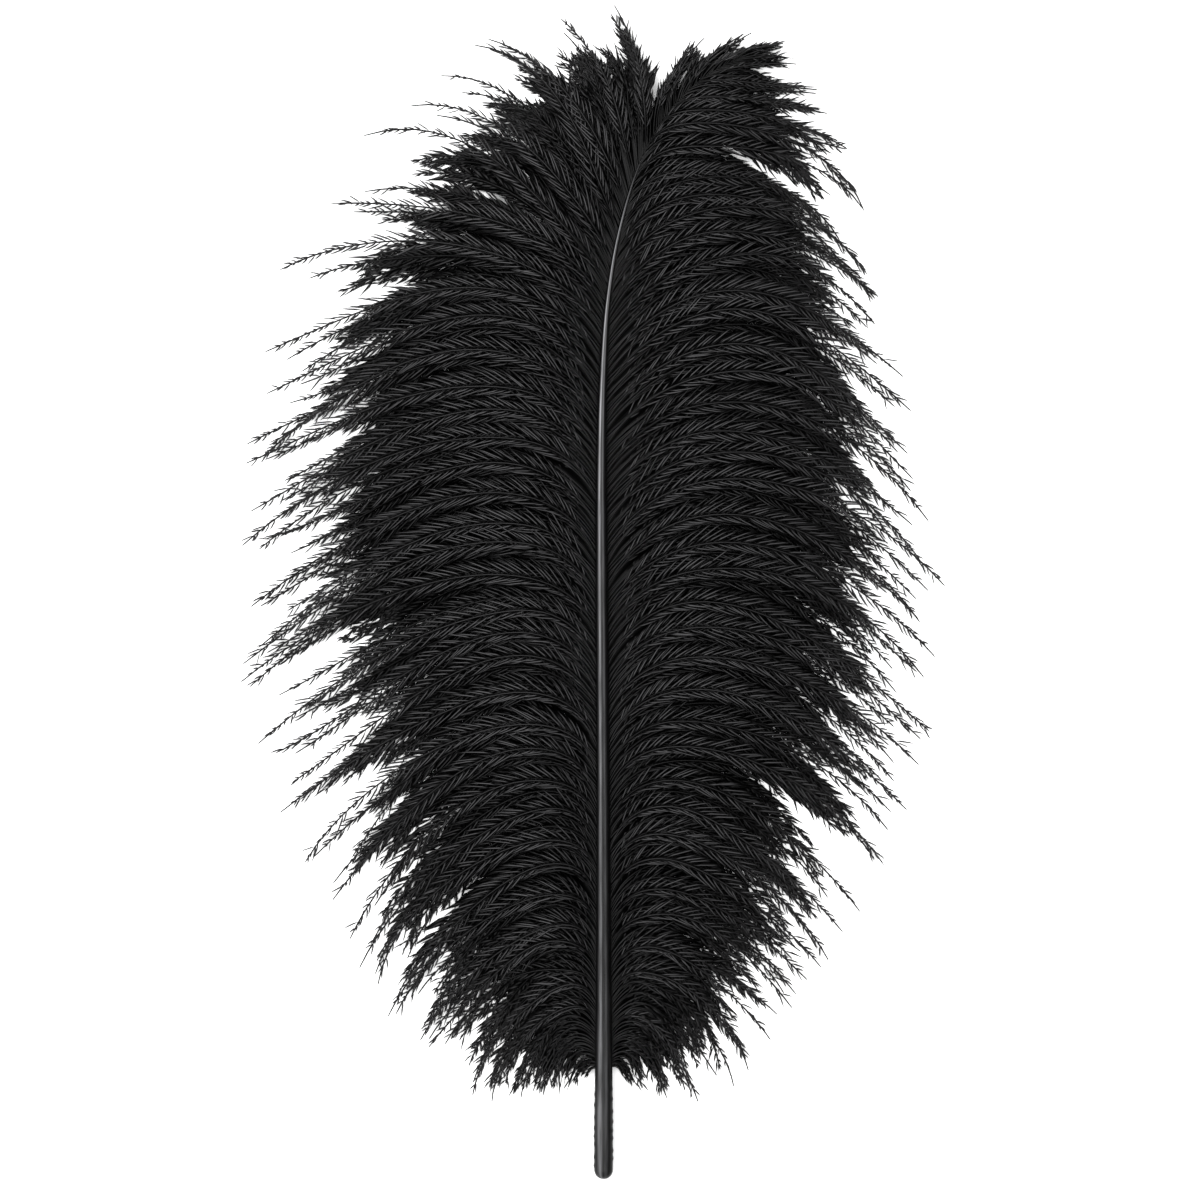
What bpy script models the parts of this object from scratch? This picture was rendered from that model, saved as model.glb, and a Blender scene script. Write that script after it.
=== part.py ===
"""An ostrich feather lying on a flat surface with its hollow side down.

Metres, +Z up and +Y towards the feather's tip. The shaft runs up the middle and curls over to the right at its
tip. Each vane is one arched sheet that reaches the tips of the barbs: it leaves the shaft, rises to a crest and
comes down to lie flat along its outer edge. The origin is below the middle of the whole feather, on the surface.
"""

import math
from bisect import bisect_right

import bmesh
import bpy
from mathutils import Vector

MM = 0.001

# The shaft from the foot of the quill to the tip of the rachis: x, y and radius in millimetres, seen from above.
SHAFT = (
    (0, 0, 4.05),
    (0, 27, 4.05),
    (0, 59, 3.6),
    (0, 120, 3.05),
    (-0.2, 188, 2.6),
    (-0.7, 249, 2.4),
    (-1.1, 309, 1.9),
    (-1.1, 344, 1.4),
    (0.2, 378, 0.92),
    (5.6, 408, 0.65),
    (15.7, 437, 0.45),
    (26, 456, 0.38),
    (41, 472, 0.34),
    (59, 482.5, 0.32),
    (67, 485.5, 0.3),
)
SHAFT_STEP = 9.0  # millimetres from one ring of the shaft to the next
FOOT_RINGS = 5  # rings that round off the foot of the quill
ARCH_HEIGHT = 13.0  # how far the middle of the shaft stands above its foot
ARCH_SPAN = 560.0  # the length over which the shaft's arch would come down again

# Guide barbs along each vane, in millimetres from the foot of the quill: how far up the shaft the barb is
# rooted, then the crest of its arc (x, y), its tip (x, y) and how much the outer part of the arc bows, as a
# part of its length.
LEFT_BARBS = (
    (50.5, -5.8, 53, -9, 43, 0.09),
    (57, -14, 63, -27, 40, 0.09),
    (71, -19, 80, -51, 37, 0.09),
    (100, -25, 111, -82, 63, 0.09),
    (140, -32, 153, -101, 86, 0.09),
    (181, -39, 199, -126, 144, 0.09),
    (229, -45, 251, -146, 200, 0.09),
    (271, -49, 297, -152, 249, 0.09),
    (310, -52, 338, -156, 292, 0.09),
    (340, -53, 368, -154, 327, 0.09),
    (367, -49, 397, -147, 356, 0.09),
    (383, -45, 415, -136, 393, 0.09),
    (398, -36, 434, -118, 422, 0.09),
    (409, -25, 448, -98, 446, 0.09),
    (418, -17, 458, -71, 476, 0.09),
    (427, -6, 465, -36, 491, 0.08),
    (436, 4, 470, 0, 501, 0.05),
    (445, 15, 460, 19, 472, 0.02),
    (454, 23, 472, 25, 496, -0.05),
    (468, 37, 479, 57, 494, -0.08),
    (483, 55, 487, 77, 492, -0.06),
    (493, 66, 488, 82, 488.5, 0),
)
RIGHT_BARBS = (
    (50.5, 5.8, 53, 9, 42, 0.09),
    (57, 12, 62, 28, 37, 0.09),
    (71, 20, 81, 51, 39, 0.09),
    (100, 25, 112, 79, 74, 0.09),
    (140, 32, 154, 102, 102, 0.09),
    (181, 40, 200, 124, 150, 0.09),
    (229, 47, 253, 137, 203, 0.09),
    (271, 51, 301, 143, 252, 0.09),
    (310, 57, 338, 141, 292, 0.09),
    (340, 57, 371, 137, 324, 0.09),
    (367, 57, 399, 129, 359, 0.09),
    (390, 58, 419, 116, 387, 0.09),
    (409, 61, 433, 105, 407, 0.09),
    (421, 58, 441, 94, 428, 0.09),
    (434, 61, 450, 109, 424, 0.1),
    (454, 64, 463, 104, 445, 0.1),
    (474, 68, 473, 98, 463, 0.08),
    (495, 74, 480, 87, 479, 0.04),
    (501, 74, 483.5, 84, 483, 0),
)
ROW_STEP = 9.0  # most millimetres along the shaft from one row of the sheet to the next
COLUMNS = 12  # faces of the sheet from a barb's root to its tip
VANE_THICKNESS = 3.2
ROOT_GAP = 0.6  # clear space between the shaft and a vane
ROOT_DROP = 1.2  # how far a vane's underside starts below the middle of the shaft
FLAT_FROM = 0.8  # the part of a barb's length beyond which the sheet lies flat on the surface
CREST_RISE = 0.065  # height of the crest, as a part of the barb's length
CREST_MOST = 10.0


def smooth_row(table, station):
    """The rest of a table's row at a station, by a smooth curve through its rows. Stations come first in a row."""
    stations = [row[0] for row in table]
    last = len(table) - 1
    low = min(max(bisect_right(stations, station) - 1, 0), last - 1)
    high = low + 1
    before, after = max(low - 1, 0), min(high + 1, last)
    width = stations[high] - stations[low]
    u = (station - stations[low]) / width
    values = []
    for column in range(1, len(table[0])):
        value = [row[column] for row in table]
        slope_low = (value[high] - value[before]) / (stations[high] - stations[before])
        slope_high = (value[after] - value[low]) / (stations[after] - stations[low])
        values.append(
            value[low] * (1 + 2 * u) * (1 - u) ** 2
            + value[high] * u * u * (3 - 2 * u)
            + width * u * (1 - u) * ((1 - u) * slope_low - u * slope_high)
        )
    return values


def with_distance(points):
    """Rows of a path with the distance travelled along it put in front."""
    rows = [(0.0, *points[0])]
    for last, point in zip(points, points[1:]):
        rows.append((rows[-1][0] + math.dist(last[:2], point[:2]), *point))
    return rows


SHAFT_TABLE = with_distance(SHAFT)
SHAFT_LENGTH = SHAFT_TABLE[-1][0]


def shaft_point(distance):
    """Middle of the shaft at a distance from its foot."""
    x, y, _ = smooth_row(SHAFT_TABLE, distance)
    return Vector((x, y, SHAFT[0][2] + ARCH_HEIGHT * math.sin(math.pi * distance / ARCH_SPAN)))


def shaft_radius(distance):
    """Radius of the shaft, which closes in a half ball at its foot."""
    radius = smooth_row(SHAFT_TABLE, distance)[2]
    foot = SHAFT[0][2]
    if distance < foot:
        radius *= math.sqrt(1 - (1 - distance / foot) ** 2)
    return radius


def shaft_side(distance, side):
    """Level direction that leaves the shaft sideways: side is -1 on the left and 1 on the right."""
    along = shaft_point(distance + 1) - shaft_point(distance - 1)
    return Vector((along.y, -along.x, 0)).normalized() * side


def make_shaft(material):
    """The quill and rachis: a tube along the shaft's path that narrows to the tip."""
    foot = SHAFT[0][2]
    rounding = [foot * (1 - math.cos(math.pi / 2 * i / FOOT_RINGS)) for i in range(FOOT_RINGS)]
    rounding[0] = 0.02
    count = round((SHAFT_LENGTH - foot) / SHAFT_STEP)
    rest = [foot + (SHAFT_LENGTH - foot) * i / count for i in range(count + 1)]
    curve = bpy.data.curves.new("shaft", "CURVE")
    curve.dimensions = "3D"
    curve.bevel_depth = 1.0
    curve.bevel_resolution = 2
    curve.use_fill_caps = True
    spline = curve.splines.new("POLY")
    distances = rounding + rest
    spline.points.add(len(distances) - 1)
    for point, distance in zip(spline.points, distances):
        point.co = (*shaft_point(distance) * MM, 1)
        point.radius = max(shaft_radius(distance), 0.3) * MM
    shaft = bpy.data.objects.new("shaft", curve)
    curve.materials.append(material)
    return shaft


def barb_path(guides, distance, side):
    """Plan of one barb as a function of how far along it a point is, from 0 to 1."""
    crest_x, crest_y, tip_x, tip_y, bow = smooth_row(guides, distance)
    root = shaft_point(distance) + shaft_side(distance, side) * (shaft_radius(distance) + ROOT_GAP)
    root = root.xy
    crest, tip = Vector((crest_x, crest_y)), Vector((tip_x, tip_y))
    fall = tip - crest
    middle = (crest + tip) / 2 + Vector((-fall.y, fall.x)) * side * bow

    def path(t):
        return (
            root * -4.5 * (t - 1 / 3) * (t - 2 / 3) * (t - 1)
            + crest * 13.5 * t * (t - 2 / 3) * (t - 1)
            - middle * 13.5 * t * (t - 1 / 3) * (t - 1)
            + tip * 4.5 * t * (t - 1 / 3) * (t - 2 / 3)
        )

    return path, (crest - root).length + fall.length


def underside(distance, length, t):
    """Height of a vane's underside above the surface."""
    u = min(t / FLAT_FROM, 1)
    root = shaft_point(distance).z - ROOT_DROP
    crest = min(CREST_RISE * length, CREST_MOST)
    return root * (1 - u * u * (3 - 2 * u)) + crest * 16 * (u * (1 - u)) ** 2


def make_vane(name, guides, side, material):
    """One vane: a sheet lofted along its barbs and thickened upwards."""
    stations = []
    for low, high in zip(guides, guides[1:]):
        count = math.ceil((high[0] - low[0]) / ROW_STEP)
        stations += [low[0] + (high[0] - low[0]) * i / count for i in range(count)]
    stations.append(guides[-1][0])
    sheet = bmesh.new()
    rows = []
    for distance in stations:
        path, length = barb_path(guides, distance, side)
        row = []
        for column in range(COLUMNS + 1):
            t = column / COLUMNS
            row.append(sheet.verts.new(Vector((*path(t), underside(distance, length, t))) * MM))
        rows.append(row)
    for row, above in zip(rows, rows[1:]):
        for i in range(COLUMNS):
            face = (row[i], above[i], above[i + 1], row[i + 1])
            sheet.faces.new(face if side < 0 else face[::-1])
    mesh = bpy.data.meshes.new(name)
    sheet.to_mesh(mesh)
    sheet.free()
    mesh.materials.append(material)
    mesh.shade_smooth()
    vane = bpy.data.objects.new(name, mesh)
    thick = vane.modifiers.new("thickness", "SOLIDIFY")
    thick.thickness = VANE_THICKNESS * MM
    thick.offset = 1
    return vane


def make_material(name, colour, roughness):
    """A plain material with the part's colour and gloss."""
    material = bpy.data.materials.new(name)
    material.use_nodes = True
    shader = material.node_tree.nodes["Principled BSDF"]
    shader.inputs["Base Color"].default_value = (*colour, 1)
    shader.inputs["Roughness"].default_value = roughness
    shader.inputs["Metallic"].default_value = 0
    return material


def box_of(objects):
    """Lowest and highest corners of the finished objects."""
    bpy.context.view_layer.update()
    graph = bpy.context.evaluated_depsgraph_get()
    corners = []
    for obj in objects:
        mesh = obj.evaluated_get(graph).to_mesh()
        corners += [obj.matrix_world @ vertex.co for vertex in mesh.vertices]
        obj.evaluated_get(graph).to_mesh_clear()
    low = Vector([min(corner[i] for corner in corners) for i in range(3)])
    high = Vector([max(corner[i] for corner in corners) for i in range(3)])
    return low, high


def main():
    """Builds the feather and puts the origin below its middle."""
    for obj in list(bpy.data.objects):
        bpy.data.objects.remove(obj)
    feather = bpy.data.collections.new("ostrich_feather")
    bpy.context.scene.collection.children.link(feather)
    keratin = make_material("keratin", (0.045, 0.045, 0.048), 0.32)
    left_barbs = make_material("left_barbs", (0.014, 0.014, 0.016), 0.6)
    right_barbs = make_material("right_barbs", (0.014, 0.014, 0.016), 0.6)
    parts = (
        make_shaft(keratin),
        make_vane("vane_left", LEFT_BARBS, -1, left_barbs),
        make_vane("vane_right", RIGHT_BARBS, 1, right_barbs),
    )
    middle = bpy.data.objects.new("feather_middle", None)
    feather.objects.link(middle)
    for part in parts:
        feather.objects.link(part)
        part.parent = middle
    low, high = box_of(parts)
    middle.location = (-(low.x + high.x) / 2, -(low.y + high.y) / 2, -low.z)


main()
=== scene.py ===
"""A black ostrich plume lying hollow side down on a pale floor.

The shaft is one tube with a shallow groove along its upper face. Each vane is some three hundred and fifty
barbs that arch out of the shaft, gather into locks and droop to the floor, and every barb carries its own two
rows of barbules. All of it is mesh, in millimetres from the foot of the quill until it is laid in the frame.
"""

import logging
from dataclasses import dataclass, field, replace
from enum import Enum

import bpy
import numpy as np
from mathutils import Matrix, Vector


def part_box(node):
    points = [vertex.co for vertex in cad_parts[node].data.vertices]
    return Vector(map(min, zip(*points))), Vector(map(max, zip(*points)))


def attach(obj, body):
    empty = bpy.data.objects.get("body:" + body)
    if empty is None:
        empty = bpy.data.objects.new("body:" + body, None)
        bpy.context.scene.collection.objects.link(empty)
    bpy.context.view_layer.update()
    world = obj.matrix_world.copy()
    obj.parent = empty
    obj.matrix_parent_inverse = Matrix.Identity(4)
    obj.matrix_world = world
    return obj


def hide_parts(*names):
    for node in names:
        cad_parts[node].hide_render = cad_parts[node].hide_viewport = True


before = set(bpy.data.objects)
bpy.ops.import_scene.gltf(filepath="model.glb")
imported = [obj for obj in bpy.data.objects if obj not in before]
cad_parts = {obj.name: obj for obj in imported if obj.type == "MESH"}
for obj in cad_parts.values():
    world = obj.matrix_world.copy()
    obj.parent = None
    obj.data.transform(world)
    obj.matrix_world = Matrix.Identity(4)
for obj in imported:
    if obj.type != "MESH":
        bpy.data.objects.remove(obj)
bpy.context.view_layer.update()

MM = 0.001
LOG = logging.getLogger("feather")
MAP_NAME = "OFBake"

# The shaft from the foot of the quill to the tip of the rachis: x, y and radius, seen from above.
SHAFT_PATH = (
    (-0.1, 0, 4.05),
    (-0.1, 27, 4.05),
    (0, 59, 3.6),
    (-0.1, 120, 3.05),
    (-0.4, 188, 2.6),
    (-0.8, 249, 2.4),
    (-1.0, 309, 1.9),
    (-0.3, 344, 1.4),
    (1.9, 378, 0.92),
    (6.9, 408, 0.65),
    (15.7, 437, 0.45),
    (26, 456, 0.38),
    (41, 472, 0.34),
    (59, 482.5, 0.32),
    (67, 485.5, 0.3),
)

# Zones along the shaft, in millimetres from its foot, over which something sets in.
SWEEP_SETS_IN = (50, 120)
PULL_SETS_IN = (60, 120)
LOCKS_SET_IN = (60, 130)
LOWER_PART_ENDS = (150, 250)
CROWD_SETS_IN = (350, 430)
CLEFTS_SET_IN = (370, 395)
CROWN_GROWS = (370, 400)
RACHIS_NARROWS = (425, 455)
PLUME_SETS_IN = (430, 450)
CROWD_ENDS = (446, 470)
PLUME_THINS = (455, 485)

# A noise texture stays between these values nearly everywhere.
NOISE_RANGE = (0.3, 0.7)

# Guide barbs: distance of the root along the shaft, then the crest of the arc (x, y), its tip (x, y) and how
# much the outer part of the arc bows, as a part of its length.
LEFT_GUIDES = (
    (48, -5, 46.5, -8, 38, 0.05),
    (53, -11, 55, -20, 36, 0.08),
    (60, -16, 65, -34, 34, 0.09),
    (71, -19, 79, -52, 34, 0.09),
    (100, -25, 111, -82, 63, 0.09),
    (140, -32, 153, -98, 90, 0.09),
    (181, -39, 199, -126, 144, 0.08),
    (229, -45, 250, -146, 200, 0.07),
    (271, -48, 295, -152, 249, 0.06),
    (300, -49, 323, -152, 283, 0.05),
    (333, -48, 361, -153, 321, 0.05),
    (343, -46, 371, -148, 337, 0.06),
    (355, -43, 382, -144, 356, 0.08),
    (365, -39, 393, -137, 384, 0.085),
    (377, -32, 406, -119, 423, 0.09),
    (385, -25, 415, -101, 441, 0.14),
    (393, -17, 421, -87, 458, 0.15),
    (403, -11, 429, -72, 474, 0.15),
    (416, -5, 441, -50, 486, 0.13),
    (430, 4, 455, -18, 496, 0.09),
    (442, 15, 463, 2, 502, 0.08),
    (448, 20, 465, 16, 495, 0.05),
    (452, 22, 467, 22, 490, 0.02),
    (457, 25, 467, 32, 489, 0),
    (464, 29, 469, 42, 490, -0.06),
    (474, 38, 475, 57, 493, -0.06),
    (485, 48, 480, 71, 490, -0.05),
    (497, 60, 485, 79, 489, -0.03),
    (506, 68, 487, 82, 486, 0),
)
RIGHT_GUIDES = (
    (48, 5, 46.5, 8, 38, 0.05),
    (53, 11, 55, 20, 35, 0.08),
    (60, 15, 64, 33, 34, 0.09),
    (71, 20, 80, 52, 37, 0.09),
    (100, 25, 112, 79, 74, 0.09),
    (140, 32, 154, 102, 102, 0.09),
    (181, 40, 200, 124, 150, 0.09),
    (229, 47, 253, 137, 203, 0.09),
    (271, 49, 299, 139, 252, 0.1),
    (310, 52, 337, 137, 292, 0.11),
    (340, 51, 369, 133, 325, 0.12),
    (355, 48, 384, 130, 352, 0.12),
    (378, 39, 406, 115, 382, 0.14),
    (402, 34, 424, 100, 401, 0.17),
    (418, 34, 431, 95, 410, 0.15),
    (427, 35, 436, 91, 413, 0.1),
    (437, 42, 447, 106, 413, 0.17),
    (445, 42, 453, 106, 421, 0.14),
    (455, 42, 458, 101, 445, 0.07),
    (463, 45, 463, 97, 457, 0.05),
    (478, 51, 470, 91, 466, 0.03),
    (490, 59, 478, 85, 477, 0.03),
    (500, 66, 482, 81, 483, 0.02),
    (506, 72, 487, 80, 485, 0),
)

# Distances along the shaft of the roots whose tips stand out, with their neighbours drawn in to them.
LEFT_TUFTS = (
    (60, 76, 97, 121, 146, 171, 196, 222, 247, 272, 297, 318, 338, 354, 366),
    (377, 386, 395, 404, 416, 430, 442, 463, 478, 492),
)
RIGHT_TUFTS = (
    (61, 78, 100, 123, 147, 172, 198, 223, 249, 274, 300, 325, 348, 370),
    (390, 408, 423, 441, 455, 468, 482, 496),
)


class Side(Enum):
    """The two edges of the shaft, with the sign of X on each."""

    LEFT = -1
    RIGHT = 1


def smoothstep(low: float, high: float, value: np.ndarray) -> np.ndarray:
    """Soft step from 0 to 1.

    Args:
        low: where the step starts.
        high: where it ends.
        value: the numbers to read it at.

    Returns:
        The step at each number.
    """
    u = np.clip((value - low) / (high - low), 0, 1)
    return u * u * (3 - 2 * u)


def settle(height: np.ndarray, lowest: np.ndarray, softness: float) -> np.ndarray:
    """Heights that ease onto a lowest one.

    Args:
        height: the heights.
        lowest: the height that each one comes to rest at.
        softness: how gently it does so.

    Returns:
        The settled heights.
    """
    return lowest + softness * np.logaddexp(0, (height - lowest) / softness)


def unit(vectors: np.ndarray) -> np.ndarray:
    """Vectors along the last axis, scaled to a length of 1."""
    return vectors / np.maximum(np.linalg.norm(vectors, axis=-1, keepdims=True), 1e-9)


@dataclass(frozen=True)
class Curve:
    """A smooth curve through rows of numbers, each with its station along the curve."""

    stations: np.ndarray
    rows: np.ndarray

    @classmethod
    def through(cls, table: tuple) -> "Curve":
        """Curve through a table whose rows start with their stations."""
        data = np.array(table, float)
        return cls(data[:, 0], data[:, 1:])

    def at(self, station: np.ndarray) -> np.ndarray:
        """Reads the curve.

        Args:
            station: where to read it.

        Returns:
            One row for each station.
        """
        x, y = self.stations, self.rows
        station = np.atleast_1d(np.asarray(station, float))
        low = np.clip(np.searchsorted(x, station, side="right") - 1, 0, len(x) - 2)
        high = low + 1
        before, after = np.maximum(low - 1, 0), np.minimum(high + 1, len(x) - 1)
        width = (x[high] - x[low])[:, None]
        u = (station - x[low])[:, None] / width
        slope_low = (y[high] - y[before]) / (x[high] - x[before])[:, None]
        slope_high = (y[after] - y[low]) / (x[after] - x[low])[:, None]
        return (
            y[low] * (1 + 2 * u) * (1 - u) ** 2
            + y[high] * u * u * (3 - 2 * u)
            + width * u * (1 - u) * ((1 - u) * slope_low - u * slope_high)
        )


@dataclass
class Nodes:
    """A short way to lay and join shader nodes."""

    material: bpy.types.Material

    def add(self, kind: str, **settings: object) -> bpy.types.Node:
        """Adds a node and sets its properties.

        Args:
            kind: the node's type.
            settings: properties of the node by name.

        Returns:
            The node.
        """
        node = self.material.node_tree.nodes.new(kind)
        for name, value in settings.items():
            setattr(node, name, value)
        return node

    def join(self, start: bpy.types.NodeSocket, end: bpy.types.NodeSocket) -> None:
        """Links one socket to another."""
        self.material.node_tree.links.new(start, end)

    def math(self, operation: str, first: object, second: object) -> bpy.types.NodeSocket:
        """Adds a Math node.

        Args:
            operation: what it works out.
            first: a socket or a number.
            second: a socket or a number.

        Returns:
            Its result.
        """
        node = self.add("ShaderNodeMath", operation=operation)
        for socket, value in zip(node.inputs, (first, second)):
            if isinstance(value, bpy.types.NodeSocket):
                self.join(value, socket)
            else:
                socket.default_value = value
        return node.outputs[0]

    def noise(self, vector: bpy.types.NodeSocket, scale: float, detail: float) -> bpy.types.NodeSocket:
        """Adds a Noise Texture.

        Args:
            vector: its coordinates.
            scale: its scale.
            detail: its octaves.

        Returns:
            Its value.
        """
        node = self.add("ShaderNodeTexNoise")
        node.inputs["Scale"].default_value = scale
        node.inputs["Detail"].default_value = detail
        self.join(vector, node.inputs["Vector"])
        return node.outputs["Fac"]

    def ramp(self, value: bpy.types.NodeSocket, stops: tuple) -> bpy.types.NodeSocket:
        """Adds a Color Ramp.

        Args:
            value: what it reads.
            stops: position and linear colour of each stop.

        Returns:
            Its colour.
        """
        node = self.add("ShaderNodeValToRGB")
        elements = node.color_ramp.elements
        while len(elements) < len(stops):
            elements.new(1)
        for element, (position, colour) in zip(elements, stops):
            element.position = position
            element.color = (*colour, 1)
        self.join(value, node.inputs["Fac"])
        return node.outputs["Color"]

    def multiply(self, first: bpy.types.NodeSocket, second: bpy.types.NodeSocket) -> bpy.types.NodeSocket:
        """Multiplies two colours.

        Args:
            first: one of them.
            second: the other.

        Returns:
            Their product.
        """
        mix = self.add("ShaderNodeMix", data_type="RGBA", blend_type="MULTIPLY")
        mix.inputs["Factor"].default_value = 1
        self.join(first, mix.inputs[6])
        self.join(second, mix.inputs[7])
        return mix.outputs[2]

    def spread(self, value: bpy.types.NodeSocket, low: float, high: float) -> bpy.types.NodeSocket:
        """Maps a noise's range onto another one.

        Args:
            value: what it reads.
            low: result at the low end of the noise.
            high: result at the high end of the noise.

        Returns:
            The mapped value.
        """
        node = self.add("ShaderNodeMapRange")
        for name, number in zip(("From Min", "From Max", "To Min", "To Max"), (*NOISE_RANGE, low, high)):
            node.inputs[name].default_value = number
        self.join(value, node.inputs["Value"])
        return node.outputs["Result"]


def new_material(name: str) -> tuple[bpy.types.Material, bpy.types.Node, Nodes]:
    """Starts a material.

    Args:
        name: its name.

    Returns:
        The material, its Principled shader and its nodes.
    """
    material = bpy.data.materials.new(name)
    material.use_nodes = True
    return material, material.node_tree.nodes["Principled BSDF"], Nodes(material)


def greys(stops: tuple) -> tuple:
    """Ramp stops given as positions and greys, with each grey made a colour."""
    return tuple((place, (grey, grey, grey)) for place, grey in stops)


@dataclass(frozen=True)
class BarbFinish:
    """Dyed black down, with painted light: every strand is painted dark along its edges as shade and lighter
    along its ridge as a highlight.
    """

    name: str = "barb_black"
    edge: tuple = (0.0013, 0.0013, 0.0013)
    flank: tuple = (0.0051, 0.005, 0.0052)
    ridge: tuple = (0.0275, 0.0272, 0.028)
    tones: tuple = (0.12, 1.7)
    flank_at: float = 0.45
    grain_scale: float = 60.0
    grain_tones: tuple = (0.85, 1.15)
    roughness: tuple = (0.36, 0.5)
    specular: float = 0.08

    def material(self) -> bpy.types.Material:
        """Makes the material, which reads the strands' own map: random tone and painted shade across it, and
        painted edge shade to a painted ridge highlight up it.

        Returns:
            The material.
        """
        material, shader, nodes = new_material(self.name)
        strands = nodes.add("ShaderNodeUVMap", uv_map=MAP_NAME)
        parts = nodes.add("ShaderNodeSeparateXYZ")
        nodes.join(strands.outputs["UV"], parts.inputs["Vector"])
        # Painted light up each strand: painted shade at its edges, a painted highlight on its ridge.
        stops = ((0.0, self.edge), (self.flank_at, self.flank), (1.0, self.ridge))
        height = nodes.ramp(parts.outputs["Y"], stops)
        grain = nodes.noise(strands.outputs["UV"], self.grain_scale, 2.0)
        # Across the map: random tone, with painted shade by layer and beside the shaft.
        low, high = self.tones
        tone = nodes.math("ADD", nodes.math("MULTIPLY", parts.outputs["X"], high - low), low)
        tone = nodes.math("MULTIPLY", tone, nodes.spread(grain, *self.grain_tones))
        nodes.join(nodes.multiply(height, tone), shader.inputs["Base Color"])
        nodes.join(nodes.spread(grain, *self.roughness), shader.inputs["Roughness"])
        shader.inputs["Specular IOR Level"].default_value = self.specular
        return material


@dataclass(frozen=True)
class KeratinFinish:
    """Near-black keratin: satin, with fine streaks along it, and painted light: a painted highlight along the
    ridges beside its groove, painted shade on its flanks, and painted light along the rachis.
    """

    name: str = "keratin_black"
    # Painted light around the shaft: painted shade on both flanks, a painted highlight on the left ridge
    # beside the groove and a fainter one on the right.
    left_flank_shade_and_highlight: tuple = ((0.335, 0.04), (0.37, 0.13), (0.395, 0.5), (0.415, 0.92))
    left_ridge_highlight: tuple = ((0.44, 1), (0.457, 0.75), (0.475, 0.3))
    right_ridge_highlight: tuple = ((0.49, 0.15), (0.51, 0.17), (0.53, 0.28), (0.55, 0.3))
    right_flank_shade: tuple = ((0.568, 0.2), (0.59, 0.08), (0.62, 0.03))
    # Painted light along the shaft: darker at the quill and lighter up the rachis, where it tilts towards the
    # light; darker again at its tip.
    quill: tuple = ((0, 0.4), (0.055, 0.43), (0.12, 0.37), (0.185, 0.29))
    rachis: tuple = ((0.31, 0.35), (0.43, 0.47), (0.555, 0.58), (0.64, 0.9))
    rachis_end: tuple = ((0.72, 1), (0.79, 0.85), (0.85, 0.12))
    brightest: float = 0.25
    dull: tuple = (0.45, 0.45, 0.46)
    pale: tuple = (1, 1, 1.04)
    streak_scale: tuple = (26, 30, 1)
    streak_detail: float = 5.0
    streak_ends: tuple = (0.36, 0.64)
    bump_strength: float = 0.2
    bump_depth: float = 0.0001
    roughness: tuple = (0.26, 0.38)
    specular: float = 0.07

    def material(self) -> bpy.types.Material:
        """Makes the material, which reads the shaft's own map: painted light around it from below, then
        painted light along it.

        Returns:
            The material.
        """
        material, shader, nodes = new_material(self.name)
        wrap = nodes.add("ShaderNodeUVMap", uv_map=MAP_NAME)
        parts = nodes.add("ShaderNodeSeparateXYZ")
        nodes.join(wrap.outputs["UV"], parts.inputs["Vector"])
        streak = nodes.add("ShaderNodeMapping")
        streak.inputs["Scale"].default_value = self.streak_scale
        nodes.join(wrap.outputs["UV"], streak.inputs["Vector"])
        streaks = nodes.noise(streak.outputs["Vector"], 1.0, self.streak_detail)
        # Painted highlight and shade around the shaft and painted light along it, scaled by the real streaks.
        across = greys(self.left_flank_shade_and_highlight + self.left_ridge_highlight + self.right_ridge_highlight + self.right_flank_shade)
        painted_light_bands = nodes.ramp(parts.outputs["X"], across)
        painted_lengthwise_light = nodes.ramp(parts.outputs["Y"], greys(self.quill + self.rachis + self.rachis_end))
        tints = [tuple(self.brightest * part for part in tint) for tint in (self.dull, self.pale)]
        worn = nodes.ramp(streaks, tuple(zip(self.streak_ends, tints)))
        colour = nodes.multiply(nodes.multiply(painted_light_bands, painted_lengthwise_light), worn)
        nodes.join(colour, shader.inputs["Base Color"])
        nodes.join(nodes.spread(streaks, *self.roughness), shader.inputs["Roughness"])
        shader.inputs["Specular IOR Level"].default_value = self.specular
        bump = nodes.add("ShaderNodeBump")
        bump.inputs["Strength"].default_value = self.bump_strength
        bump.inputs["Distance"].default_value = self.bump_depth
        nodes.join(streaks, bump.inputs["Height"])
        nodes.join(bump.outputs["Normal"], shader.inputs["Normal"])
        return material


@dataclass(frozen=True)
class FloorFinish:
    """Matt pale paper."""

    name: str = "floor_white"
    colour: tuple = (0.9, 0.9, 0.9)
    mottle_scale: float = 40.0
    roughness: tuple = (0.8, 0.85)

    def material(self) -> bpy.types.Material:
        """Makes the material, with the faintest mottle in its sheen.

        Returns:
            The material.
        """
        material, shader, nodes = new_material(self.name)
        place = nodes.add("ShaderNodeTexCoord")
        mottle = nodes.noise(place.outputs["Object"], self.mottle_scale, 3)
        nodes.join(nodes.spread(mottle, *self.roughness), shader.inputs["Roughness"])
        shader.inputs["Base Color"].default_value = (*self.colour, 1)
        return material


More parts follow.
